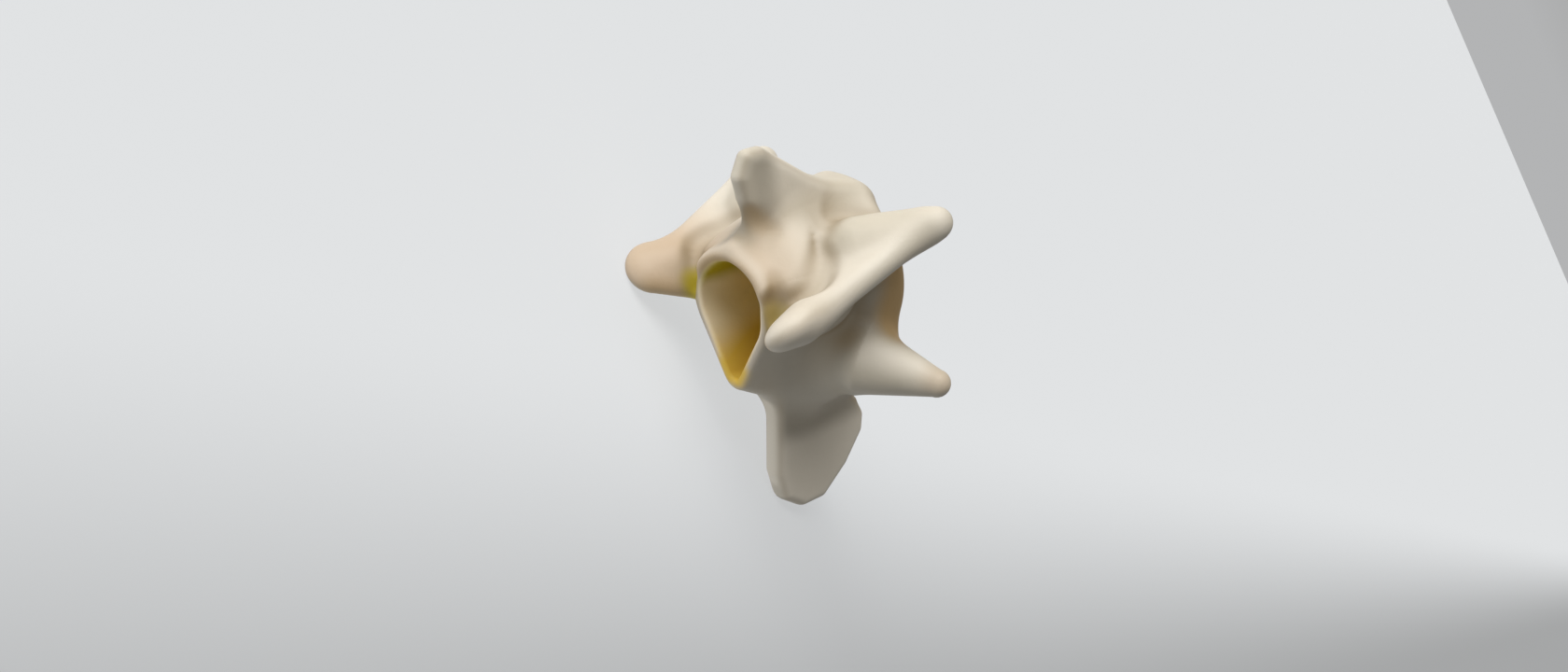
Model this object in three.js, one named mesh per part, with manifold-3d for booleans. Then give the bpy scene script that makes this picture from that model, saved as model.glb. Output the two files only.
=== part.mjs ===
import * as THREE from 'three';
import { mergeVertices } from 'three/addons/utils/BufferGeometryUtils.js';
import Module from 'manifold-3d';

// A neck vertebra of a grown pig, life size, in millimetres.
// The bone is one blended shape. It is described in the bone's own axes, half by half:
// x runs from the middle plane to a side, y towards the tail and z towards the back.

// Spinal canal: a drop-shaped section, round above and narrow below, with a soft edge at its roof
const CANAL = { round: 9.6, roundZ: 2.7, narrow: 1.7, narrowZ: -13, edge: 0.9 };
const ROOF = { edge: 4, from: 3, rise: 8 };

// Thin collar round the front of the canal, which leans back a little and swells towards the tail
const COLLAR = { from: -1.4, to: 18, lean: 0.06, wall: 2.5, narrow: 4, narrowZ: -13.2, edge: 1.2 };
const SWELL = { length: 16, round: 2.8, roundZ: 1.6, narrow: 2, narrowZ: -1.5 };
const LIP = { root: [0, 1.2, 14.6], tip: [9.4, 0.8, 9.4], rootRadius: 3.1, tipRadius: 2.3 };
const BULGE = { root: [6, 11.5, 10], tip: [12.6, 9, 6.6], rootRadius: 8, tipRadius: 6.6 };

// Body and arch, which flare out to the rear end
const REAR = { from: 4, to: 33.9, length: 29, frontRadius: 10, rearRadius: 20, edge: 4.5 };
const ARCH = { frontZ: 2, rearZ: 3.4, widening: 1.4 };
const BODY = { frontZ: -14, rearZ: -11, frontRadius: 5, rearRadius: 14.6, widening: 1.6 };

// Joint horns, the flat wing that links them, and the side horn
const FRONT_HORN = { root: [14.5, 12, 3], tip: [22.4, -4.3, 5.9], rootRadius: 8, tipRadius: 6.1 };
const FACET = { facing: [-0.62, -0.2, 0.76], flatten: 1.75 };
const REAR_HORN = { root: [16, 21, 15.8], tip: [27.3, 33.3, 20.8], rootRadius: 5.8, tipRadius: 3.1 };
const SIDE_HORN = { root: [17, 23, -11.6], tip: [32, 29.8, -14.2], rootRadius: 8, tipRadius: 3.1 };
const WING = { corners: [[22.8, -1.2, 6.2], [26, 30.5, 19.6], [12, 19.5, 12.8]], thick: 3 };
const SHOULDER = { root: [12, 23, 11], tip: [16, 27, 13.5], rootRadius: 5, tipRadius: 4.5 };

// Crest on the back and plate on the belly side: outlines (y, z) in the middle plane
const SPINE_OUTLINE = [
  [6, 12], [4.4, 22], [3.2, 28], [2.2, 31.2], [3.8, 34.8], [6.6, 34.8], [20, 25.6], [37, 15], [33, 8],
];
const SPINE = { tipZ: 33, taper: 14, frontY: 1, swell: 10, thin: 0.3, thick: 1.5, round: 2.1, edge: 3 };
const KEEL_OUTLINE = [
  [13.2, -12], [13.2, -42], [15, -48], [19.3, -51], [24.4, -51],
  [30.6, -45.6], [35.2, -39], [35.4, -36], [33.8, -33], [30, -30], [28, -12],
];
const KEEL = { half: 0.3, round: 2.8, edge: 3 };

// Share of a section's distance that is left where its wall slants outwards
const SLANT = 0.9;
// Widths over which the parts run into each other
const BLEND = {
  lip: 2.5, flare: 5, bulge: 5, frontHorn: 3, shoulder: 6, wing: 3.5, rearHorn: 4.5, sideHorn: 6.5, keel: 7,
  spineFront: 4, spineRear: 9, spineFrom: 4, spineLength: 12,
};

// Creases between bulge and wing, beside the rim, and at the foot of the crest.
// Each is a bend of four control points [x, y, z, radius]. A radius far below 0 fades out.
const CREASES = [
  [[6, 15.4, 22, -4.2], [10, 14.8, 13.2, 0.6], [26.4, 6.4, 15.1, 2.2], [13.6, 1, 6.9, -1.6]],
  [[9.6, 2, 13.4, -3.5], [12, 0.8, 11, -1], [12.7, 0.2, 8.5, -0.2], [12.8, 0.4, 5, -1.5]],
  [[2, 2, 24.4, -2.6], [2.6, 3.4, 22.4, -0.2], [3.4, 5.4, 20, -0.4], [6, 8.4, 19.2, -3.5]],
];
const CREASE = { balls: 16, edge: 3.6, near: 6 };

// The bone lies on its right side, on three blunt tips: two horns and the foot of the plate.
// Each tip is worn to a small flat where it touches the ground.
const PLATE_FOOT = { tip: [0.3, 15, -48], tipRadius: 2.85 };
const HORN_FOOT = { tip: FRONT_HORN.tip, tipRadius: 4.95 };
const FLAT_DEPTH = 0.45;

// Steps of the grid that carries the surface: spans of [from, to, step], fine at the thin collar
const GRID = [
  [[-38, -14, 2.4], [-14, 14, 1.4], [14, 38, 2.4]],
  [[-14, -3.8, 2.3], [-3.8, 3.4, 1.2], [3.4, 41, 2.4]],
  [[-58, -19, 2.4], [-19, 17, 1.56], [17, 41, 2.3]],
];

const BONE = { colour: 0xdccfb8, roughness: 0.55 };

const mix = (a, b, t) => a + (b - a) * t;
const clamp = (v, low, high) => Math.min(Math.max(v, low), high);
const smoothStep = (t) => t * t * (3 - 2 * t);

const minus = (a, b) => [a[0] - b[0], a[1] - b[1], a[2] - b[2]];
const dot = (a, b) => a[0] * b[0] + a[1] * b[1] + a[2] * b[2];
const cross = (a, b) => [a[1] * b[2] - a[2] * b[1], a[2] * b[0] - a[0] * b[2], a[0] * b[1] - a[1] * b[0]];

// Smallest of two distances, rounded over the width k where they are alike
function join(a, b, k) {
  const h = Math.max(k - Math.abs(a - b), 0) / k;
  return Math.min(a, b) - h * h * k * 0.25;
}

const overlap = (a, b, k) => -join(-a, -b, k);

// Distance to the line between two points, less a radius that depends on the share of the way along it
function toLine(p, a, b, radius) {
  const way = minus(b, a);
  const q = minus(p, a);
  const t = clamp(dot(q, way) / dot(way, way), 0, 1);
  return Math.hypot(q[0] - t * way[0], q[1] - t * way[1], q[2] - t * way[2]) - radius(t);
}

// Distance to a cone between two points with a ball at each end
function cone(p, { root, tip, rootRadius, tipRadius }) {
  return toLine(p, root, tip, (t) => mix(rootRadius, tipRadius, t));
}

// Front joint horn: a cone pressed flat along the way that its joint facet faces
function facetHorn(p) {
  const press = ([x, y, z]) => {
    const [a, b, c] = FACET.facing;
    const extra = (FACET.flatten - 1) * (x * a + y * b + z * c);
    return [x + extra * a, y + extra * b, z + extra * c];
  };
  const pressed = { ...FRONT_HORN, root: press(FRONT_HORN.root), tip: press(FRONT_HORN.tip) };
  return cone(press(p), pressed) / Math.sqrt(FACET.flatten);
}

// Distance to a drop: the hull of a circle at highZ and a smaller one at lowZ below it
function drop(x, z, highRadius, highZ, lowRadius, lowZ) {
  const height = highZ - lowZ;
  const slope = clamp((highRadius - lowRadius) / height, -0.95, 0.95);
  const upright = Math.sqrt(1 - slope * slope);
  const down = highZ - z;
  const along = upright * down - slope * x;
  if (along < 0) return Math.hypot(x, down) - highRadius;
  if (along > upright * height) return Math.hypot(x, down - height) - lowRadius;
  return x * upright + down * slope - highRadius;
}

// Distance to a closed outline of (y, z) points
function outline(y, z, points) {
  let nearest = Infinity;
  let inside = false;
  for (let i = 0; i < points.length; i += 1) {
    const a = points[i];
    const b = points[(i + 1) % points.length];
    const side = [b[0] - a[0], b[1] - a[1]];
    const from = [y - a[0], z - a[1]];
    const t = clamp((from[0] * side[0] + from[1] * side[1]) / (side[0] ** 2 + side[1] ** 2), 0, 1);
    nearest = Math.min(nearest, Math.hypot(from[0] - t * side[0], from[1] - t * side[1]));
    const crosses = (a[1] > z) !== (b[1] > z);
    if (crosses && y < a[0] + side[0] * (z - a[1]) / side[1]) inside = !inside;
  }
  return inside ? -nearest : nearest;
}

// Distance to a flat triangle, less half its thickness
function plate(p, { corners, thick }) {
  const [a, b, c] = corners;
  const face = cross(minus(b, a), minus(a, c));
  let within = true;
  let nearest = Infinity;
  for (const [start, end] of [[a, b], [b, c], [c, a]]) {
    within = within && dot(minus(p, start), cross(minus(end, start), face)) > 0;
    nearest = Math.min(nearest, toLine(p, start, end, () => 0));
  }
  return (within ? Math.abs(dot(minus(p, a), face)) / Math.hypot(...face) : nearest) - thick;
}

function collar(x, y, z) {
  const t = clamp(y / SWELL.length, -0.1, 1);
  const radius = CANAL.round + COLLAR.wall + SWELL.round * t;
  const narrow = COLLAR.narrow + SWELL.narrow * t;
  const narrowZ = COLLAR.narrowZ + SWELL.narrowZ * t;
  const section = drop(x, z, radius, CANAL.roundZ + SWELL.roundZ * t, narrow, narrowZ);
  const middle = (COLLAR.from + COLLAR.to) / 2;
  const ends = Math.abs(y + COLLAR.lean * z - middle) - (COLLAR.to - COLLAR.from) / 2;
  return overlap(section, ends, COLLAR.edge);
}

function flare(x, y, z) {
  const t = clamp((y - REAR.from) / REAR.length, 0, 1);
  const wide = smoothStep(t);
  const low = smoothStep(clamp(t * BODY.widening, 0, 1));
  const radius = mix(REAR.frontRadius, REAR.rearRadius, wide ** ARCH.widening);
  const lowRadius = mix(BODY.frontRadius, BODY.rearRadius, low);
  const lowZ = mix(BODY.frontZ, BODY.rearZ, wide);
  const section = SLANT * drop(x, z, radius, mix(ARCH.frontZ, ARCH.rearZ, wide), lowRadius, lowZ);
  const middle = (REAR.from + REAR.to) / 2;
  return overlap(section, Math.abs(y - middle) - (REAR.to - REAR.from) / 2, REAR.edge);
}

function spine(x, y, z) {
  const low = clamp((SPINE.tipZ - z) / SPINE.taper, 0, 1);
  const rear = clamp((y - SPINE.frontY) / SPINE.swell, 0, 1);
  const half = SPINE.thin + SPINE.thick * low * rear;
  return overlap(outline(y, z, SPINE_OUTLINE), x - half, SPINE.edge) - SPINE.round;
}

function keel(x, y, z) {
  return overlap(outline(y, z, KEEL_OUTLINE), x - KEEL.half, KEEL.edge) - KEEL.round;
}

// Balls along the cubic bend of each crease
const CREASE_BALLS = CREASES.map((bend) => Array.from({ length: CREASE.balls }, (_, n) => {
  const t = n / (CREASE.balls - 1);
  const shares = [(1 - t) ** 3, 3 * t * (1 - t) ** 2, 3 * t ** 2 * (1 - t), t ** 3];
  return [0, 1, 2, 3].map((k) => shares.reduce((sum, share, stop) => sum + share * bend[stop][k], 0));
}));

// Smooth smallest distance to the balls of a crease: less the logarithm of the sum of exp(-distance)
function crease(p, balls) {
  const sum = balls.reduce((total, [x, y, z, radius]) => {
    return total + Math.exp(radius - Math.hypot(p[0] - x, p[1] - y, p[2] - z));
  }, 0);
  return -Math.log(sum);
}

// Distance to the whole bone: negative inside, zero on its surface
function bone(px, y, z) {
  const x = Math.abs(px);
  const p = [x, y, z];
  const rear = smoothStep(clamp((y - BLEND.spineFrom) / BLEND.spineLength, 0, 1));
  let d = join(collar(x, y, z), cone(p, LIP), BLEND.lip);
  d = join(d, flare(x, y, z), BLEND.flare);
  d = join(d, cone(p, BULGE), BLEND.bulge);
  d = join(d, facetHorn(p), BLEND.frontHorn);
  d = join(d, join(plate(p, WING), cone(p, SHOULDER), BLEND.shoulder), BLEND.wing);
  d = join(d, cone(p, REAR_HORN), BLEND.rearHorn);
  d = join(d, cone(p, SIDE_HORN), BLEND.sideHorn);
  d = join(d, spine(x, y, z), mix(BLEND.spineFront, BLEND.spineRear, rear));
  d = join(d, keel(x, y, z), BLEND.keel);
  const canal = drop(x, z, CANAL.round, CANAL.roundZ, CANAL.narrow, CANAL.narrowZ);
  const roof = smoothStep(clamp((z - ROOF.from) / ROOF.rise, 0, 1));
  d = overlap(d, -canal, mix(CANAL.edge, ROOF.edge, roof));
  if (Math.abs(d) > CREASE.near) return d;
  return CREASE_BALLS.reduce((sum, balls) => overlap(sum, -crease(p, balls), CREASE.edge), d);
}

// Slide a point along the slope of the distance until it lies on the surface
function settle(point) {
  const step = 0.05;
  const reach = 0.5;
  for (let turn = 0; turn < 4; turn += 1) {
    const [x, y, z] = point;
    const slope = [
      (bone(x + step, y, z) - bone(x - step, y, z)) / (2 * step),
      (bone(x, y + step, z) - bone(x, y - step, z)) / (2 * step),
      (bone(x, y, z + step) - bone(x, y, z - step)) / (2 * step),
    ];
    const steep = Math.max(slope[0] ** 2 + slope[1] ** 2 + slope[2] ** 2, 0.2);
    const move = clamp(bone(x, y, z) / steep, -reach, reach);
    for (let axis = 0; axis < 3; axis += 1) point[axis] -= move * slope[axis];
  }
}

// All grid lines along one axis
function gridLines(spans) {
  const lines = [spans[0][0]];
  for (const [from, to, step] of spans) {
    const count = Math.round((to - from) / step);
    for (let n = 1; n <= count; n += 1) lines.push(mix(from, to, n / count));
  }
  return lines;
}

// The twelve edges of a grid cell, as pairs of its corners
const CORNERS = [0, 1, 2, 3, 4, 5, 6, 7].map((n) => [n & 1, (n >> 1) & 1, n >> 2]);
const EDGES = [1, 2, 4].flatMap((bit) => CORNERS.map((_, n) => [n, n | bit]).filter(([m, n]) => m !== n));

// Net of quads over the surface: one point in each grid cell that the surface crosses.
// The grid leans back with the collar, so that its layers lie along the rim.
function surfaceNet() {
  const lines = GRID.map(gridLines);
  const size = lines.map((list) => list.length);
  const at = (i, j, k) => i + size[0] * (j + size[1] * k);
  const values = new Float64Array(size[0] * size[1] * size[2]);
  const points = [];
  const pointOf = new Map();
  const triangles = [];

  function eachNode(first, margin, visit) {
    for (let k = first; k < size[2] - margin; k += 1) {
      for (let j = first; j < size[1] - margin; j += 1) {
        for (let i = first; i < size[0] - margin; i += 1) visit(i, j, k);
      }
    }
  }

  eachNode(0, 0, (i, j, k) => {
    values[at(i, j, k)] = bone(lines[0][i], lines[1][j] - COLLAR.lean * lines[2][k], lines[2][k]);
  });

  eachNode(0, 1, (i, j, k) => {
    const cell = CORNERS.map(([a, b, c]) => values[at(i + a, j + b, k + c)]);
    const crossed = EDGES.filter(([m, n]) => (cell[m] < 0) !== (cell[n] < 0));
    if (crossed.length === 0) return;
    const point = [i, j, k].map((start, axis) => {
      const sum = crossed.reduce((total, [m, n]) => {
        return total + mix(CORNERS[m][axis], CORNERS[n][axis], cell[m] / (cell[m] - cell[n]));
      }, 0);
      return mix(lines[axis][start], lines[axis][start + 1], sum / crossed.length);
    });
    point[1] -= COLLAR.lean * point[2];
    settle(point);
    pointOf.set(at(i, j, k), points.length);
    points.push(point);
  });

  const steps = [[1, 0, 0], [0, 1, 0], [0, 0, 1]];
  eachNode(1, 1, (i, j, k) => {
    for (let axis = 0; axis < 3; axis += 1) {
      const [a, b, c] = steps[axis];
      const inside = values[at(i, j, k)] < 0;
      if (inside === values[at(i + a, j + b, k + c)] < 0) continue;
      const u = steps[(axis + 1) % 3];
      const v = steps[(axis + 2) % 3];
      const quad = [[0, 0], [1, 0], [1, 1], [0, 1]].map(([m, n]) => {
        return pointOf.get(at(i - m * u[0] - n * v[0], j - m * u[1] - n * v[1], k - m * u[2] - n * v[2]));
      });
      if (!inside) quad.reverse();
      triangles.push(...splitQuad(quad, points));
    }
  });
  return { points, triangles };
}

// Two triangles on the shorter diagonal of a quad
function splitQuad([a, b, c, d], points) {
  const apart = (m, n) => Math.hypot(...points[m].map((v, i) => v - points[n][i]));
  if (apart(a, c) < apart(b, d)) return [a, b, c, a, c, d];
  return [a, b, d, b, c, d];
}

// Direction that points up when the bone lies on three balls of the given centres and radii
function upFromRests(rests) {
  const [a, b, c] = rests.map((rest) => new THREE.Vector3(-rest.tip[0], rest.tip[1], rest.tip[2]));
  const first = b.clone().sub(a);
  const second = c.clone().sub(a);
  const firstRise = rests[1].tipRadius - rests[0].tipRadius;
  const secondRise = rests[2].tipRadius - rests[0].tipRadius;
  const shared = first.dot(second);
  const area = first.lengthSq() * second.lengthSq() - shared * shared;
  const alongFirst = (firstRise * second.lengthSq() - secondRise * shared) / area;
  const alongSecond = (secondRise * first.lengthSq() - firstRise * shared) / area;
  const up = first.clone().multiplyScalar(alongFirst).addScaledVector(second, alongSecond);
  const across = first.cross(second).normalize();
  if (across.x < 0) across.negate();
  return up.addScaledVector(across, Math.sqrt(1 - up.lengthSq()));
}

// Turn from the bone's axes to the ground's: z up, and the tail end towards +y
function layDown() {
  const up = upFromRests([HORN_FOOT, SIDE_HORN, PLATE_FOOT]);
  const tail = new THREE.Vector3(0, 1, 0).addScaledVector(up, -up.y).normalize();
  const side = tail.clone().cross(up);
  return new THREE.Matrix4().makeBasis(side, tail, up).transpose();
}

function solid(wasm, positions, triangles) {
  const mesh = new wasm.Mesh({
    numProp: 3,
    vertProperties: new Float32Array(positions),
    triVerts: new Uint32Array(triangles),
  });
  return new wasm.Manifold(mesh);
}

const largest = (shape) => shape.decompose().reduce((a, b) => (b.numTri() > a.numTri() ? b : a));

function toGeometry(shape) {
  const mesh = shape.getMesh();
  const geometry = new THREE.BufferGeometry();
  geometry.setAttribute('position', new THREE.BufferAttribute(new Float32Array(mesh.vertProperties), 3));
  geometry.setIndex(new THREE.BufferAttribute(new Uint32Array(mesh.triVerts), 1));
  return geometry;
}

// The bone laid down, its three tips cut flat at z = 0, over the middle of its own footprint
function vertebraGeometry(wasm) {
  const net = surfaceNet();
  const laid = toGeometry(largest(solid(wasm, net.points.flat(), net.triangles)));
  laid.applyMatrix4(layDown());
  laid.computeBoundingBox();
  laid.translate(0, 0, -laid.boundingBox.min.z - FLAT_DEPTH);

  const block = new THREE.BoxGeometry(200, 200, 20).deleteAttribute('normal').deleteAttribute('uv');
  const ground = mergeVertices(block);
  ground.translate(0, 0, -10);
  const below = solid(wasm, ground.attributes.position.array, ground.index.array);
  const bone = solid(wasm, laid.attributes.position.array, laid.index.array);
  const geometry = toGeometry(largest(bone.subtract(below)));

  geometry.computeBoundingBox();
  const middle = geometry.boundingBox.getCenter(new THREE.Vector3());
  geometry.translate(-middle.x, -middle.y, 0);
  geometry.computeVertexNormals();
  return geometry;
}

const wasm = await Module();
wasm.setup();

const look = { color: BONE.colour, roughness: BONE.roughness, metalness: 0 };
const material = new THREE.MeshStandardMaterial(look);
const vertebra = new THREE.Mesh(vertebraGeometry(wasm), material);
vertebra.name = 'cervical_vertebra';

const model = new THREE.Group();
model.add(vertebra);

export default model;
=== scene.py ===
import itertools
import math

import bpy
import numpy as np
from mathutils import Matrix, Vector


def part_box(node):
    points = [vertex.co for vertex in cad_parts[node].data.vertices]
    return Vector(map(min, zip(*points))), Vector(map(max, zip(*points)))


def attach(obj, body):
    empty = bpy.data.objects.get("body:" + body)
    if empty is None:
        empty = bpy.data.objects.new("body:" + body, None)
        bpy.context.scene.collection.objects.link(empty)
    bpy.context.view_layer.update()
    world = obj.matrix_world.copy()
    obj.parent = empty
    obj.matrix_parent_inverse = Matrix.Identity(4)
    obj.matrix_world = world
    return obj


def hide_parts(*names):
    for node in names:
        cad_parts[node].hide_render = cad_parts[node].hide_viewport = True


# A neck vertebra of a grown pig: one fine skin over the solid bone, in the bone's own axes.
# Lengths of the bone are in millimetres: x from the middle plane to a side, y to the tail, z to the back.

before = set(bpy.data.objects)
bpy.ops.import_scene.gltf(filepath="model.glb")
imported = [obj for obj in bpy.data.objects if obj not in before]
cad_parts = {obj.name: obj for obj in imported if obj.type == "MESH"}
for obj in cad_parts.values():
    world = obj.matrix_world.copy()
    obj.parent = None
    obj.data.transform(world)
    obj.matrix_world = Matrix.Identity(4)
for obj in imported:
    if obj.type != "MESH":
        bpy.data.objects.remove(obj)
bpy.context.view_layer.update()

MM = 0.001

# Spinal canal: a drop-shaped section, round above and narrow below, with a soft edge at its roof
CANAL = dict(round=9.6, round_z=2.7, narrow=1.7, narrow_z=-13, edge=0.9)
ROOF = dict(edge=4, start=3, rise=8)

# Thin collar round the front of the canal: it leans forward a little at its top and swells towards the tail
COLLAR = dict(start=-1.4, end=18, lean=0.06, wall=2.5, narrow=4, narrow_z=-13.2, edge=1.2)
SWELL = dict(length=16, least=-0.1, round=2.8, round_z=1.6, narrow=2, narrow_z=-1.5)
LIP = dict(root=(0, 1.2, 14.6), tip=(9.4, 0.8, 9.4), root_radius=3.1, tip_radius=2.3)
BULGE = dict(root=(6, 11.5, 10), tip=(12.6, 9, 6.6), root_radius=8, tip_radius=6.6)

# Body and arch, which flare out to the rear end
REAR = dict(start=4, end=33.9, length=29, front_radius=10, rear_radius=20, edge=4.5)
ARCH = dict(front_z=2, rear_z=3.4, widening=1.4)
BODY = dict(front_z=-14, rear_z=-11, front_radius=5, rear_radius=14.6, widening=1.6)

# Joint horns, the flat wing that links them, and the side horn
FRONT_HORN = dict(root=(14.5, 12, 3), tip=(22.4, -4.3, 5.9), root_radius=8, tip_radius=6.1)
FACET = dict(facing=(-0.62, -0.2, 0.76), flatten=1.75)
REAR_HORN = dict(root=(16, 21, 15.8), tip=(27.3, 33.3, 20.8), root_radius=5.8, tip_radius=3.1)
SIDE_HORN = dict(root=(17, 23, -11.6), tip=(32, 29.8, -14.2), root_radius=8, tip_radius=3.1)
WING = dict(corners=((22.8, -1.2, 6.2), (26, 30.5, 19.6), (12, 19.5, 12.8)), thick=3)
SHOULDER = dict(root=(12, 23, 11), tip=(16, 27, 13.5), root_radius=5, tip_radius=4.5)

# Crest on the back and plate on the belly side: outlines (y, z) in the middle plane
SPINE_OUTLINE = (
    (6, 12), (4.4, 22), (3.2, 28), (2.2, 31.2), (3.8, 34.8), (6.6, 34.8), (20, 25.6), (37, 15), (33, 8),
)
SPINE = dict(tip_z=33, taper=14, front_y=1, swell=10, thin=0.3, thick=1.5, round=2.1, edge=3)
KEEL_OUTLINE = (
    (13.2, -12), (13.2, -42), (15, -48), (19.3, -51), (24.4, -51),
    (30.6, -45.6), (35.2, -39), (35.4, -36), (33.8, -33), (30, -30), (28, -12),
)
KEEL = dict(half=0.3, round=2.8, edge=3)

# Share of a section's distance that is left where its wall slants outwards, and the steepest side of a drop
SLANT = 0.9
STEEPEST = 0.95

# Widths over which the parts run into each other. The crest's goes from its front to its rear value
# along y, from spine_start on, over spine_length.
BLEND = dict(
    lip=2.5, flare=5, bulge=5, front_horn=3, shoulder=6, wing=3.5, rear_horn=4.5, side_horn=6.5, keel=7,
    spine_front=4, spine_rear=9, spine_start=4, spine_length=12,
)

# Creases between bulge and wing, beside the rim, and at the foot of the crest.
# Each is a bend of four control points (x, y, z, radius). A radius far below 0 fades out.
WING_CREASE = ((6, 15.4, 22, -5.5), (10, 14.8, 13.2, 0.2), (26.4, 6.4, 15.1, 4), (13.6, 1, 6.9, -1.2))
RIM_CREASE = ((9.6, 2, 13.4, -3.5), (12, 0.8, 11, -1.6), (12.7, 0.2, 8.5, -0.6), (12.8, 0.4, 3, -1))
CREST_CREASE = ((2, 2, 24.4, -2.6), (2.6, 3.4, 22.4, -0.2), (3.4, 5.4, 20, -0.4), (6, 8.4, 19.2, -3.5))
CREASE = dict(balls=16, edge=3.6, near=6)

# Balls (centre, radius) at the three tips on which the bone lies
FEET = (
    ((-22.4, -4.3, 5.9), 4.95),
    ((-32, 29.8, -14.2), 3.1),
    ((-0.3, 15, -48), 2.85),
)

# Grid that carries the skin, and how its points slide onto the bone
GRID = dict(low=(-38, -14, -58), high=(38, 41, 41), step=0.5, slabs=8)
SLIDE = dict(rounds=4, most=0.5, least_steep=0.2)
SLOPE_REACH = 0.05

# Tints of the bone, each laid over those before it. The warm one is the bone's own tone, the first
# is paler edges and painted light, the canal wall's is painted light and the rest are painted shade
CREAM = ((0.58, 0.525, 0.42), (0.64, 0.58, 0.47))
TINTS = dict(
    pale_edge_and_painted_light=(0.75, 0.69, 0.585),
    warm=(0.58, 0.45, 0.32),
    painted_shade=(0.40, 0.365, 0.30),
    painted_crevice_shade=(0.32, 0.245, 0.15),
    # painted shade in tan
    tan=(0.47, 0.32, 0.15),
    # painted light: the canal's pale lining
    wall=(0.93, 0.81, 0.60),
    gold_painted_shade=(0.70, 0.47, 0.07),
    olive_painted_shade=(0.43, 0.34, 0.005),
)

# Where each tint lies. Each pair is a span: no tint at its first place, all of it at the second.
# Most run along x, y or z. The others run over a distance or over a share from 0 to 1, as they are named.
# Pale lining of the canal, brighter than the cream: painted light inside the canal
WALL = dict(distance=(1.1, 0))
# Paler where the bone is thin, and painted light on three bright edges
RIDGE = dict(
    reaches=(2.5, 5, 8), share=(0.15, 0.7),
    arch_x=(18, 12), arch_y=(12, 5), arch_z=(-8, 4), arch_back=(-1.5, 2), arch_less=0.7,
)
WARM = dict(
    y=(18, 0), top=(27, 19), low=(-22, -12), least=0.15, right=(20, 10), right_more=0.6,
    left=(-4, -14), left_more=0.25, lip_x=(14, 10), lip_y=(2, -0.5), lip_less=0.2,
)
# Painted shade where the bone faces down or is closed above, and along the crest's side
PAINTED_SHADE = dict(
    up=(0.2, -0.1, 1), outwards=0.3, reaches=(3, 7, 12, 18), share=(0.5, 0.85),
    plate_z=(-31, -37), plate_less=0.8, facing_z=(0, -0.6), facing_most=0.8,
)
# Painted shade in creases and hollows
PAINTED_CREVICE_SHADE = dict(reaches=(1.5, 3, 6, 11), share=(0, 0.8))
# Painted shade in tan: in the creases, on the brow over the canal and at two spots
TAN = dict(
    crest_distance=(2.8, -1), crest_most=0.75, rim_distance=(4, -1), rim_most=0.3,
    brow_distance=(3.5, 1), brow_y=(1.5, 0), brow_z=(5, 10), brow_most=0.8,
)
# Painted shade in gold-brown, deeper into the canal and at its foot
PAINTED_GOLD_SHADE = dict(least=0.1, y=(-2, 14), y_more=0.55, z=(-3, -12), z_more=0.85, foot_distance=(3, 0.8))
# Painted shade in olive under the canal's roof and between the collar and the front horns
PAINTED_OLIVE_SHADE = dict(roof_z=(3, 8), side_x=(8, -8), right=0.35, left_more=0.5)

# Spots of a tint: the ends of a line, the distances from it at which the tint starts and is full, its share
HORN_BLUSH = dict(start=(34, 28.8, -13), end=(36, 31, -15), far=7, close=1, most=0.5)
HORN_TIP = dict(start=(34, 28.8, -13), end=(36, 31, -15), far=7, close=2, most=1)
# Painted light on the side horn's top and on the front horn's side
SIDE_HORN_TOP_LIGHT = dict(start=(22, 18.5, -6.5), end=(30, 25.5, -8.5), far=6, close=1, most=0.9)
FRONT_HORN_SIDE_LIGHT = dict(start=(27, -8, 8), end=(29, 2, 8), far=5, close=1, most=0.8)
# Painted shade under the front horn
FRONT_HORN_FOOT_SHADE = dict(start=(18, -8, 2), end=(17, -3, 1), far=5.5, close=1, most=0.55)
# Painted light on the plate's front edge
PLATE_EDGE_LIGHT = dict(start=(0, 10.5, -24), end=(0, 10.5, -44), far=4, close=1, most=1)
# Painted shade along the crest's side
CREST_SIDE_SHADE = dict(start=(3, 5.8, 33), end=(3.4, 6.6, 25), far=6, close=0.5, most=0.7)
# Painted shade in the rear corner
REAR_CORNER_SHADE = dict(start=(18.5, 28, -9), end=(18.5, 32, 8), far=7, close=2, most=0.95)
# Painted shade at the canal's narrow foot
CANAL_FOOT_SHADE = dict(start=(1.5, -2, -12.5), end=(1.5, 2, -13.5), far=6, close=2, most=1)
# Painted shade between the collar and each front horn
COLLAR_CORNER_SHADE = dict(start=(13, 0, 5), end=(14, 2, -2), far=4.5, close=1, most=1)

# Fine finish of the bone: the scale of each pattern in waves to a metre, depths in metres
MOTTLE = dict(scale=110, detail=3, span=(0.3, 0.7))
GRAIN = dict(scale=900, detail=4, strength=0.12, depth=0.0004)
PORES = dict(scale=1500, span=(0, 0.3), strength=0.06, depth=0.0002)
ROUGHNESS = (0.38, 0.58)
SPECULAR = 0.3

# Floor, in metres: its finish, and its own glow, which falls between two distances across a straight band
# The glow is painted light: it fills in the floor's shadows, and its fall across the band is a painted
# fall-off
FLOOR = dict(half=12, colour=(0.22, 0.225, 0.23), roughness=0.9, specular=0.1, glow=(0.965, 0.985, 1))
GLOW_ACROSS = (0.958, -0.287, 0)
GLOW_FALL = dict(start=0.0, end=0.11, pale=0.58, dim=0.19)

# Sky, from a low band at the horizon to overhead, by the height of the direction
SKY = dict(low=(0.45, 0.455, 0.46), overhead=(0.24, 0.235, 0.225), low_z=0.02, overhead_z=0.15)

# Wide soft lights: name, direction in the bone's axes, strength
LIGHTS = (
    ("key", (0.15, -0.14, 0.98), 1.9),
    ("fill", (0.37, 0.2, 0.89), 1.1),
)
LIGHT_SPREAD = 45
LIGHT_COLOUR = (1, 0.995, 0.985)

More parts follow.
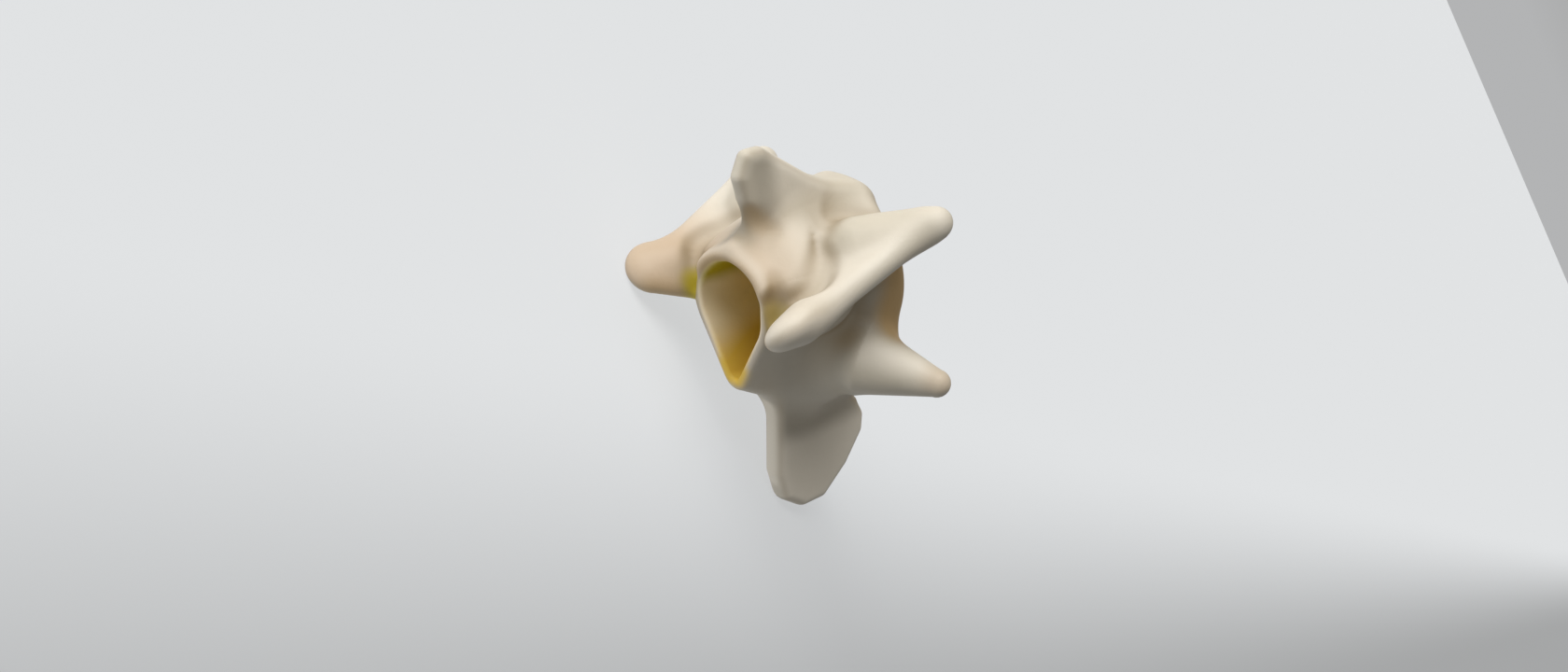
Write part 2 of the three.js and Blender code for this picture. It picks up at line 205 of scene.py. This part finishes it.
# Camera, in the bone's axes: turned from the front and raised, aimed by where the bone's origin shows.
# Its distance and sensor are in millimetres, its clip distances in metres.
VIEW_TURN = 47.2
VIEW_RISE = 25.0
VIEW_DISTANCE = 350.0
PICTURE_SIZE = (1680, 720)
ORIGIN_IN_PICTURE = (787, 340)
FOCAL_PIXELS = 1750
SENSOR_WIDTH = 36.0
CLIP = (0.01, 100)


def mix(a, b, t):
    """From a at t = 0 to b at t = 1, evenly."""
    return a + (b - a) * t


def smooth_step(t):
    """t squared times (3 - 2 t), level at both ends, for t held between 0 and 1."""
    t = np.clip(t, 0, 1)
    return t * t * (3 - 2 * t)


def fade(values, span):
    """Smooth step from 0 at the first end of the span to 1 at the second, which may be the lower."""
    return smooth_step((values - span[0]) / (span[1] - span[0]))


def fold(points):
    """The points with x turned to the positive side, for what is alike on both sides."""
    return np.column_stack([np.abs(points[:, 0]), points[:, 1:]])


def join(a, b, k):
    """Smaller of two distances, less k/4 times the square of (1 - |a - b| / k) where they are alike."""
    h = np.maximum(k - np.abs(a - b), 0) / k
    return np.minimum(a, b) - h * h * k * 0.25


def overlap(a, b, k):
    """Larger of two distances, rounded in the same way."""
    return -join(-a, -b, k)


def cone(p, root, tip, root_radius=0, tip_radius=0):
    """Distance to the line from root to tip, less a radius that changes evenly along it."""
    start = np.array(root, float)
    way = np.array(tip, float) - start
    q = p - start
    t = np.clip(q @ way / (way @ way), 0, 1)
    return np.linalg.norm(q - t[:, None] * way, axis=1) - mix(root_radius, tip_radius, t)


def facet_horn(p):
    """Cone measured in a space stretched along the way that its facet faces, so that it is flat there."""
    facing = np.array(FACET["facing"])

    def press(v):
        return v + (FACET["flatten"] - 1) * np.outer(v @ facing, facing)

    root, tip = press(np.array([FRONT_HORN["root"], FRONT_HORN["tip"]], float))
    pressed = cone(press(p), root, tip, FRONT_HORN["root_radius"], FRONT_HORN["tip_radius"])
    return pressed / math.sqrt(FACET["flatten"])


def drop(x, z, high_radius, high_z, low_radius, low_z):
    """Distance to the hull of a circle at high_z and a smaller one below it, joined by their tangents."""
    height = high_z - low_z
    slope = np.clip((high_radius - low_radius) / height, -STEEPEST, STEEPEST)
    upright = np.sqrt(1 - slope * slope)
    down = high_z - z
    along = upright * down - slope * x
    above = np.hypot(x, down) - high_radius
    below = np.hypot(x, down - height) - low_radius
    beside = x * upright + down * slope - high_radius
    return np.where(along < 0, above, np.where(along > upright * height, below, beside))


def plate(p, corners, thick):
    """Distance to a flat triangle, to its plane or else to its nearest side, less its half thickness."""
    a, b, c = [np.array(corner, float) for corner in corners]
    face = np.cross(b - a, a - c)
    within = np.ones(len(p), bool)
    nearest = np.full(len(p), np.inf)
    for start, end in ((a, b), (b, c), (c, a)):
        side = end - start
        within &= (p - start) @ np.cross(side, face) > 0
        nearest = np.minimum(nearest, cone(p, start, end))
    flat = np.abs((p - a) @ face) / np.linalg.norm(face)
    return np.where(within, flat, nearest) - thick


def outline(y, z, points):
    """Distance to a closed outline, to its nearest side.

    It is negative inside, where a ray crosses the outline an odd number of times.
    """
    nearest = np.full(y.shape, np.inf)
    inside = np.zeros(y.shape, bool)
    for (ay, az), (by, bz) in zip(points, points[1:] + points[:1]):
        side_y, side_z = by - ay, bz - az
        from_y, from_z = y - ay, z - az
        t = np.clip((from_y * side_y + from_z * side_z) / (side_y ** 2 + side_z ** 2), 0, 1)
        nearest = np.minimum(nearest, np.hypot(from_y - t * side_y, from_z - t * side_z))
        if az != bz:
            inside ^= ((az > z) != (bz > z)) & (y < ay + side_y * (z - az) / side_z)
    return np.where(inside, -nearest, nearest)


def canal(x, z):
    """Distance to the canal's drop section, the same all the way through."""
    return drop(x, z, CANAL["round"], CANAL["round_z"], CANAL["narrow"], CANAL["narrow_z"])


def collar(x, y, z):
    """Drop section that swells evenly along y, held between two planes that lean forward at the top."""
    t = np.clip(y / SWELL["length"], SWELL["least"], 1)
    section = drop(
        x, z,
        CANAL["round"] + COLLAR["wall"] + SWELL["round"] * t, CANAL["round_z"] + SWELL["round_z"] * t,
        COLLAR["narrow"] + SWELL["narrow"] * t, COLLAR["narrow_z"] + SWELL["narrow_z"] * t,
    )
    middle = (COLLAR["start"] + COLLAR["end"]) / 2
    ends = np.abs(y + COLLAR["lean"] * z - middle) - (COLLAR["end"] - COLLAR["start"]) / 2
    return overlap(section, ends, COLLAR["edge"])


def flare(x, y, z):
    """Drop section that widens along a smooth step of y, held between two planes across y."""
    t = np.clip((y - REAR["start"]) / REAR["length"], 0, 1)
    wide = smooth_step(t)
    section = drop(
        x, z,
        mix(REAR["front_radius"], REAR["rear_radius"], wide ** ARCH["widening"]),
        mix(ARCH["front_z"], ARCH["rear_z"], wide),
        mix(BODY["front_radius"], BODY["rear_radius"], smooth_step(t * BODY["widening"])),
        mix(BODY["front_z"], BODY["rear_z"], wide),
    )
    middle = (REAR["start"] + REAR["end"]) / 2
    return overlap(SLANT * section, np.abs(y - middle) - (REAR["end"] - REAR["start"]) / 2, REAR["edge"])


def spine(x, y, z):
    """Outline of the crest held to a half thickness, less towards the tip and the front, then rounded."""
    low = np.clip((SPINE["tip_z"] - z) / SPINE["taper"], 0, 1)
    back = np.clip((y - SPINE["front_y"]) / SPINE["swell"], 0, 1)
    half = SPINE["thin"] + SPINE["thick"] * low * back
    return overlap(outline(y, z, SPINE_OUTLINE), x - half, SPINE["edge"]) - SPINE["round"]


def keel(x, y, z):
    """Outline of the belly plate held to an even half thickness and rounded."""
    return overlap(outline(y, z, KEEL_OUTLINE), x - KEEL["half"], KEEL["edge"]) - KEEL["round"]


def crease(p, bend):
    """Smooth smallest distance to balls along a cubic bend: less the logarithm of a sum of exp(-distance)."""
    t = np.linspace(0, 1, CREASE["balls"])[:, None]
    shares = np.hstack([(1 - t) ** 3, 3 * t * (1 - t) ** 2, 3 * t ** 2 * (1 - t), t ** 3])
    balls = shares @ np.array(bend)
    return -np.log(sum(np.exp(ball[3] - np.linalg.norm(p - ball[:3], axis=1)) for ball in balls))


def bone(points):
    """Distance to the whole bone, negative inside: every part joined smoothly, then the hollows taken out."""
    p = fold(points)
    x, y, z = p.T
    wing = join(plate(p, **WING), cone(p, **SHOULDER), BLEND["shoulder"])
    rear = smooth_step((y - BLEND["spine_start"]) / BLEND["spine_length"])
    d = join(collar(x, y, z), cone(p, **LIP), BLEND["lip"])
    d = join(d, flare(x, y, z), BLEND["flare"])
    d = join(d, cone(p, **BULGE), BLEND["bulge"])
    d = join(d, facet_horn(p), BLEND["front_horn"])
    d = join(d, wing, BLEND["wing"])
    d = join(d, cone(p, **REAR_HORN), BLEND["rear_horn"])
    d = join(d, cone(p, **SIDE_HORN), BLEND["side_horn"])
    d = join(d, spine(x, y, z), mix(BLEND["spine_front"], BLEND["spine_rear"], rear))
    d = join(d, keel(x, y, z), BLEND["keel"])
    edge = mix(CANAL["edge"], ROOF["edge"], smooth_step((z - ROOF["start"]) / ROOF["rise"]))
    d = overlap(d, -canal(x, z), edge)
    near = np.abs(d) < CREASE["near"]
    for bend in (WING_CREASE, RIM_CREASE, CREST_CREASE):
        d[near] = overlap(d[near], -crease(p[near], bend), CREASE["edge"])
    return d


def slope_of(points):
    """Slope of the distance along x, y and z, from its change over twice a small reach."""
    steps = np.eye(3) * SLOPE_REACH
    return np.stack([(bone(points + s) - bone(points - s)) / (2 * SLOPE_REACH) for s in steps], axis=1)


def surface_net(low, high, step):
    """A point in each cell on the surface, at the mean of its crossings, and a quad at each crossed edge."""
    lines = [low[k] + step * np.arange(round((high[k] - low[k]) / step) + 1) for k in range(3)]
    nodes = np.stack(np.meshgrid(*lines, indexing="ij"), axis=-1)
    slabs = np.array_split(nodes, GRID["slabs"])
    values = np.concatenate([bone(slab.reshape(-1, 3)) for slab in slabs]).reshape(nodes.shape[:3])
    inside = values < 0
    size = np.array(values.shape) - 1

    def corner(array, at):
        return array[tuple(slice(a, a + n) for a, n in zip(at, size))]

    corners = list(itertools.product((0, 1), repeat=3))
    held = sum(corner(inside, at).astype(int) for at in corners)
    used = (held > 0) & (held < len(corners))
    cells = np.argwhere(used)
    number = np.full(size, -1)
    number[used] = np.arange(len(cells))

    total = np.zeros((len(cells), 3))
    count = np.zeros(len(cells))
    for first in corners:
        for axis in range(3):
            if first[axis]:
                continue
            second = tuple(1 if k == axis else first[k] for k in range(3))
            a = values[tuple((cells + first).T)]
            b = values[tuple((cells + second).T)]
            crossed = (a < 0) != (b < 0)
            share = np.where(crossed, a / np.where(crossed, a - b, 1), 0)
            spot = np.array(first) + share[:, None] * (np.array(second) - first)
            total += spot * crossed[:, None]
            count += crossed
    points = low + step * (cells + total / count[:, None])

    quads = []
    for axis in range(3):
        u, v = (axis + 1) % 3, (axis + 2) % 3
        near = [slice(1, -1)] * 3
        far = [slice(1, -1)] * 3
        near[axis] = slice(0, -1)
        far[axis] = slice(1, None)
        a, b = inside[tuple(near)], inside[tuple(far)]
        for leaves, order in ((a & ~b, (0, 1, 2, 3)), (b & ~a, (3, 2, 1, 0))):
            at = np.argwhere(leaves)
            ring = []
            for m, n in ((0, 0), (1, 0), (1, 1), (0, 1)):
                cell = at.copy()
                cell[:, u] += m
                cell[:, v] += n
                ring.append(number[tuple(cell.T)])
            quads.append(np.stack([ring[k] for k in order], axis=1))
    return points, np.concatenate(quads)


def up_from_feet(feet):
    """Direction that points up when three balls touch the ground: equal heights of centre less radius."""
    (a, ra), (b, rb), (c, rc) = [(np.array(centre, float), radius) for centre, radius in feet]
    sides = np.array([b - a, c - a])
    rises = np.array([rb - ra, rc - ra])
    up = sides.T @ np.linalg.solve(sides @ sides.T, rises)
    across = np.cross(*sides)
    across *= math.copysign(1, across[0]) / np.linalg.norm(across)
    return up + across * math.sqrt(1 - up @ up)


def lay_down():
    """Rows: the ground's x, y and z in the bone's axes, with y the level way towards the tail."""
    up = up_from_feet(FEET)
    tail = np.array([0.0, 1.0, 0.0]) - up[1] * up
    tail /= np.linalg.norm(tail)
    return np.array([np.cross(tail, up), tail, up])


def shelter(points, ways, reaches):
    """How much of a way out is closed: the mean of 1 less distance over reach, for each reach along it."""
    return np.mean([np.clip(1 - bone(points + ways * r) / r, 0, 1) for r in reaches], axis=0)


def thinness(points, normals, reaches):
    """How thin the bone is behind a point: the mean of 1 less depth over reach, against the normal."""
    return np.mean([np.clip(1 + bone(points - normals * r) / r, 0, 1) for r in reaches], axis=0)


def near_spot(points, spot):
    """Share of a spot's tint, by the distance from its line, alike on both sides of the middle."""
    return spot["most"] * fade(cone(fold(points), spot["start"], spot["end"]), (spot["far"], spot["close"]))


def canal_wall(points):
    """1 on the wall of the canal, less the further a point is outside it."""
    return fade(canal(np.abs(points[:, 0]), points[:, 2]), WALL["distance"])


def pale_edge_and_painted_light_share(points, normals):
    """Pale where the bone is thin, less so on the arch behind the lip, and painted light on three bright
    edges.
    """
    x, y, z = fold(points).T
    arch = fade(x, RIDGE["arch_x"]) * fade(y, RIDGE["arch_y"]) * fade(z, RIDGE["arch_z"])
    arch *= fade(y, RIDGE["arch_back"]) * (1 - canal_wall(points))
    thin = fade(thinness(points, normals, RIDGE["reaches"]), RIDGE["share"])
    thin *= (1 - RIDGE["arch_less"] * arch) * (1 - near_spot(points, HORN_TIP))
    spots = [near_spot(points, spot) for spot in (SIDE_HORN_TOP_LIGHT, FRONT_HORN_SIDE_LIGHT, PLATE_EDGE_LIGHT)]
    return np.maximum.reduce([thin, *spots])


def warm_share(points):
    """Pinkish tan round the front, most on the left horn, least on the right, and at the side horns' tips."""
    x, y, z = points.T
    lip = fade(y, WARM["lip_y"]) * fade(np.abs(x), WARM["lip_x"])
    side = WARM["least"] + WARM["right_more"] * fade(x, WARM["right"])
    side += WARM["left_more"] * fade(x, WARM["left"]) - WARM["lip_less"] * lip
    front = side * fade(y, WARM["y"]) * fade(z, WARM["top"]) * fade(z, WARM["low"])
    return np.maximum(front, near_spot(points, HORN_BLUSH))


def painted_shade_share(points, normals):
    """Painted shade in grey-brown where the bone faces down or is closed above, on the crest's side, not in
    the canal.
    """
    up = PAINTED_SHADE["outwards"] * normals + PAINTED_SHADE["up"]
    up /= np.linalg.norm(up, axis=1)[:, None]
    covered = fade(shelter(points, up, PAINTED_SHADE["reaches"]), PAINTED_SHADE["share"])
    covered *= 1 - PAINTED_SHADE["plate_less"] * fade(points[:, 2], PAINTED_SHADE["plate_z"])
    below = PAINTED_SHADE["facing_most"] * fade(normals[:, 2], PAINTED_SHADE["facing_z"])
    most = np.maximum.reduce([covered, below, near_spot(points, CREST_SIDE_SHADE)])
    return most * (1 - near_spot(points, PLATE_EDGE_LIGHT)) * (1 - canal_wall(points))


def painted_crevice_shade_share(points, normals):
    """Painted shade in brown where the way out along the normal is closed, but not in the canal."""
    closed = fade(shelter(points, normals, PAINTED_CREVICE_SHADE["reaches"]), PAINTED_CREVICE_SHADE["share"])
    return closed * (1 - canal_wall(points))


def painted_tan_shade_share(points):
    """Painted shade in tan in the crest's and the rim's creases, on the brow over the canal, and at two named
    spots.
    """
    p = fold(points)
    x, y, z = p.T
    brow = fade(canal(x, z), TAN["brow_distance"]) * fade(y, TAN["brow_y"]) * fade(z, TAN["brow_z"])
    return np.maximum.reduce([
        TAN["crest_most"] * fade(crease(p, CREST_CREASE), TAN["crest_distance"]),
        TAN["rim_most"] * fade(crease(p, RIM_CREASE), TAN["rim_distance"]),
        TAN["brow_most"] * brow,
        near_spot(points, FRONT_HORN_FOOT_SHADE),
        near_spot(points, REAR_CORNER_SHADE),
    ])


def gold_painted_shade_share(points):
    """Painted shade in gold-brown in the canal, more inwards and at its narrow foot, and at the rim of that
    foot.
    """
    x, y, z = fold(points).T
    inwards = PAINTED_GOLD_SHADE["least"] + PAINTED_GOLD_SHADE["y_more"] * fade(y, PAINTED_GOLD_SHADE["y"]) + PAINTED_GOLD_SHADE["z_more"] * fade(z, PAINTED_GOLD_SHADE["z"])
    foot = near_spot(points, CANAL_FOOT_SHADE) * fade(canal(x, z), PAINTED_GOLD_SHADE["foot_distance"])
    return np.maximum(canal_wall(points) * np.minimum(inwards, 1), foot)


def olive_painted_shade_share(points):
    """Painted shade in olive under the roof of the canal, and between the collar and each front horn, more on
    the left.
    """
    roof = fade(points[:, 2], PAINTED_OLIVE_SHADE["roof_z"]) * canal_wall(points)
    corner = PAINTED_OLIVE_SHADE["right"] + PAINTED_OLIVE_SHADE["left_more"] * fade(points[:, 0], PAINTED_OLIVE_SHADE["side_x"])
    return np.maximum(roof, corner * near_spot(points, COLLAR_CORNER_SHADE))


def vertebra_skin(low_corner, high_corner):
    """Surface where the bone's distance is 0, reached by Newton steps, laid down and flat where it rests."""
    points, quads = surface_net(np.array(GRID["low"]), np.array(GRID["high"]), GRID["step"])
    for _ in range(SLIDE["rounds"]):
        slope = slope_of(points)
        steep = np.maximum((slope ** 2).sum(axis=1), SLIDE["least_steep"])
        points -= slope * np.clip(bone(points) / steep, -SLIDE["most"], SLIDE["most"])[:, None]
    slope = slope_of(points)
    normals = slope / np.linalg.norm(slope, axis=1)[:, None]
    tints = {
        "painted_crevice_shade": painted_crevice_shade_share(points, normals),
        "painted_shade": painted_shade_share(points, normals),
        "tan": painted_tan_shade_share(points),
        "pale_edge_and_painted_light": pale_edge_and_painted_light_share(points, normals),
        "warm": warm_share(points),
        "wall": canal_wall(points),
        "gold_painted_shade": gold_painted_shade_share(points),
        "olive_painted_shade": olive_painted_shade_share(points),
    }

    turned = points @ lay_down().T
    lowest, highest = turned.min(axis=0), turned.max(axis=0)
    place = (low_corner + high_corner) / 2 / MM - (lowest + highest) / 2
    place[2] = high_corner[2] / MM - highest[2]
    laid = turned + place
    laid[:, 2] = np.maximum(laid[:, 2], 0)

    mesh = bpy.data.meshes.new("vertebra_skin")
    mesh.from_pydata((laid * MM).tolist(), [], quads.tolist())
    mesh.polygons.foreach_set("use_smooth", np.ones(len(quads), bool))
    for name, values in tints.items():
        mesh.attributes.new(name, "FLOAT", "POINT").data.foreach_set("value", values.astype(np.float32))
    mesh.update()
    skin = bpy.data.objects.new("vertebra_skin", mesh)
    bpy.context.collection.objects.link(skin)
    return skin, place


def set_socket(tree, socket, value):
    """Link the socket to another one, or set it to a number or a colour."""
    if isinstance(value, bpy.types.NodeSocket):
        tree.links.new(value, socket)
    elif socket.type == "RGBA":
        socket.default_value = (*value, 1)
    else:
        socket.default_value = value


def node(tree, kind, **sockets):
    """A shader node with its sockets set or linked, where an underscore in a name stands for a space."""
    made = tree.nodes.new(kind)
    for name, value in sockets.items():
        set_socket(tree, made.inputs[name.replace("_", " ")], value)
    return made


def blend_colours(tree, share, first, second):
    """Output of a colour mix between two colours or colour sockets."""
    made = tree.nodes.new("ShaderNodeMix")
    made.data_type = "RGBA"
    set_socket(tree, made.inputs["Factor"], share)
    for socket, value in zip([s for s in made.inputs if s.type == "RGBA"], (first, second)):
        set_socket(tree, socket, value)
    return next(s for s in made.outputs if s.type == "RGBA")


def ramp(tree, value, start, end, first=0, last=1):
    """Smooth step of a value, from first at start to last at end."""
    ends = dict(From_Min=start, From_Max=end, To_Min=first, To_Max=last)
    made = node(tree, "ShaderNodeMapRange", Value=value, **ends)
    made.interpolation_type = "SMOOTHSTEP"
    return made.outputs["Result"]


def new_material(name):
    """A material with its node tree and its main shader."""
    mat = bpy.data.materials.new(name)
    mat.use_nodes = True
    return mat, mat.node_tree, mat.node_tree.nodes["Principled BSDF"]


def bone_material():
    """Mottled cream under the tints, with grain and pores in the bump and the mottle in the roughness."""
    mat, tree, shader = new_material("dry_bone")
    place = tree.nodes.new("ShaderNodeTexCoord").outputs["Object"]

    def speckle(pattern):
        size = dict(Scale=pattern["scale"], Detail=pattern["detail"])
        return node(tree, "ShaderNodeTexNoise", Vector=place, **size).outputs["Fac"]

    mottle = speckle(MOTTLE)
    colour = blend_colours(tree, ramp(tree, mottle, *MOTTLE["span"]), *CREAM)
    for name, tint in TINTS.items():
        share = tree.nodes.new("ShaderNodeAttribute")
        share.attribute_name = name
        colour = blend_colours(tree, share.outputs["Fac"], colour, tint)
    tree.links.new(colour, shader.inputs["Base Color"])

    grain = node(tree, "ShaderNodeBump", Strength=GRAIN["strength"], Distance=GRAIN["depth"])
    tree.links.new(speckle(GRAIN), grain.inputs["Height"])
    pores = node(tree, "ShaderNodeTexVoronoi", Vector=place, Scale=PORES["scale"]).outputs["Distance"]
    pits = node(tree, "ShaderNodeBump", Strength=PORES["strength"], Distance=PORES["depth"])
    tree.links.new(ramp(tree, pores, *PORES["span"]), pits.inputs["Height"])
    tree.links.new(grain.outputs["Normal"], pits.inputs["Normal"])
    tree.links.new(pits.outputs["Normal"], shader.inputs["Normal"])

    rough = node(tree, "ShaderNodeMapRange", Value=mottle, To_Min=ROUGHNESS[0], To_Max=ROUGHNESS[1])
    tree.links.new(rough.outputs["Result"], shader.inputs["Roughness"])
    shader.inputs["Specular IOR Level"].default_value = SPECULAR
    return mat


def ground_material():
    """Pale, with its own glow, painted light which falls softly by the distance along the direction
    GLOW_ACROSS.
    """
    mat, tree, shader = new_material("pale_ground")
    set_socket(tree, shader.inputs["Base Color"], FLOOR["colour"])
    set_socket(tree, shader.inputs["Roughness"], FLOOR["roughness"])
    set_socket(tree, shader.inputs["Specular IOR Level"], FLOOR["specular"])
    set_socket(tree, shader.inputs["Emission Color"], FLOOR["glow"])
    across = tree.nodes.new("ShaderNodeVectorMath")
    across.operation = "DOT_PRODUCT"
    across.inputs[1].default_value = GLOW_ACROSS
    tree.links.new(tree.nodes.new("ShaderNodeTexCoord").outputs["Object"], across.inputs[0])
    glow = [GLOW_FALL[key] for key in ("start", "end", "pale", "dim")]
    tree.links.new(ramp(tree, across.outputs["Value"], *glow), shader.inputs["Emission Strength"])
    return mat


def ground():
    """One wide flat quad at height 0, which faces up."""
    far = FLOOR["half"]
    mesh = bpy.data.meshes.new("ground")
    mesh.from_pydata([(-far, -far, 0), (far, -far, 0), (far, far, 0), (-far, far, 0)], [], [(0, 1, 2, 3)])
    mesh.materials.append(ground_material())
    floor = bpy.data.objects.new("ground", mesh)
    bpy.context.collection.objects.link(floor)
    return floor


def pose_matrix(columns, spot=(0, 0, 0)):
    """Matrix of an object whose own axes are the columns and whose origin is the spot."""
    pose = Matrix.Identity(4)
    for column, way in enumerate((*columns, spot)):
        for row, value in enumerate(way):
            pose[row][column] = value
    return pose


def camera(place):
    """Looks along the view's turn and rise, with the bone's origin at its place in the picture."""
    turn, rise = math.radians(VIEW_TURN), math.radians(VIEW_RISE)
    right = np.array([math.cos(turn), math.sin(turn), 0])
    forward = np.array([-math.sin(turn) * math.cos(rise), math.cos(turn) * math.cos(rise), -math.sin(rise)])
    down = np.cross(forward, right)
    aside = (np.array(ORIGIN_IN_PICTURE) - np.array(PICTURE_SIZE) / 2) / FOCAL_PIXELS
    eye = -VIEW_DISTANCE * (right * aside[0] + down * aside[1] + forward)
    turned = lay_down()
    data = bpy.data.cameras.new("camera")
    data.sensor_width = SENSOR_WIDTH
    data.lens = FOCAL_PIXELS / PICTURE_SIZE[0] * SENSOR_WIDTH
    data.clip_start, data.clip_end = CLIP
    made = bpy.data.objects.new("camera", data)
    ways = [turned @ way for way in (right, -down, -forward)]
    made.matrix_world = pose_matrix(ways, (turned @ eye + place) * MM)
    bpy.context.collection.objects.link(made)
    bpy.context.scene.camera = made


def sun(name, direction, strength):
    """Even light from a direction in the bone's axes, as from a wide soft box."""
    way = lay_down() @ np.array(direction, float)
    way /= np.linalg.norm(way)
    side = np.cross((0, 0, 1), way)
    side /= np.linalg.norm(side)
    data = bpy.data.lights.new(name, "SUN")
    data.angle = math.radians(LIGHT_SPREAD)
    data.energy = strength
    data.color = LIGHT_COLOUR
    lamp = bpy.data.objects.new(name, data)
    lamp.matrix_world = pose_matrix((side, np.cross(way, side), way))
    bpy.context.collection.objects.link(lamp)


def sky():
    """Dim and warm overhead, pale in a low band at the horizon."""
    world = bpy.data.worlds.new("studio")
    bpy.context.scene.world = world
    world.use_nodes = True
    tree = world.node_tree
    way = tree.nodes.new("ShaderNodeTexCoord").outputs["Generated"]
    split = node(tree, "ShaderNodeSeparateXYZ", Vector=way)
    height = node(tree, "ShaderNodeMapRange", Value=split.outputs["Z"])
    height.inputs["From Min"].default_value = SKY["low_z"]
    height.inputs["From Max"].default_value = SKY["overhead_z"]
    colour = blend_colours(tree, height.outputs["Result"], SKY["low"], SKY["overhead"])
    tree.links.new(colour, tree.nodes["Background"].inputs["Color"])


low_corner, high_corner = [np.array(corner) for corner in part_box("cervical_vertebra")]
skin, place = vertebra_skin(low_corner, high_corner)
skin.data.materials.append(bone_material())
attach(skin, "root")
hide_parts("cervical_vertebra")

ground()
camera(place)
bpy.context.scene.view_settings.view_transform = "Standard"
sky()
for light in LIGHTS:
    sun(*light)
